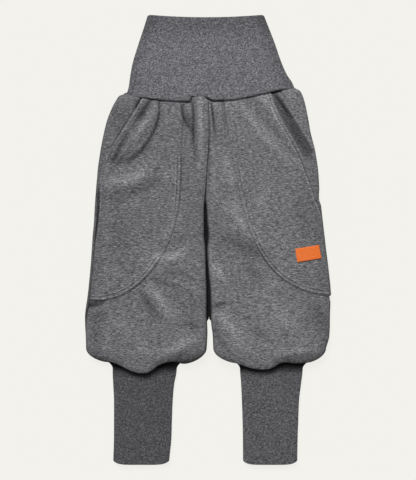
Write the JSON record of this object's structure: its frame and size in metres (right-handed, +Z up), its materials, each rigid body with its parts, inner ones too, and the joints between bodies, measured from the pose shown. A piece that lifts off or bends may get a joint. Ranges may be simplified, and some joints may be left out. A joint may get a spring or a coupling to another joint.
{
  "type": "joggers",
  "caption": "Child's grey melange joggers laid flat: tall doubled rib waistband, roomy gathered legs, pouch pockets with slanted mouths, long rib cuffs and a bare leather label",
  "frame": {"origin": "middle of the outline as seen from above, on the surface that the joggers lie on", "axes": "+Y runs up the garment to the waist, +X runs to the wearer's left, +Z runs up from the surface through the fronts"},
  "size_m": [0.3099, 0.5668, 0.0191],
  "materials": {
    "sweat_cloth": "mid-grey melange sweat cloth, fine horizontal streaks, matt",
    "rib_knit": "mid-grey melange fine rib knit, matt",
    "cuff_knit": "darker grey melange fine rib knit, matt",
    "label_leather": "orange imitation leather, bare, slightly satin"
  },
  "bodies": {
    "root": {"waistband": "rib_knit", "front_right": "sweat_cloth", "front_left": "sweat_cloth", "back_right": "sweat_cloth", "back_left": "sweat_cloth", "pocket_right": "sweat_cloth", "pocket_left": "sweat_cloth", "cuff_right": "cuff_knit", "cuff_left": "cuff_knit", "label": "label_leather"}
  },
  "joints": []
}
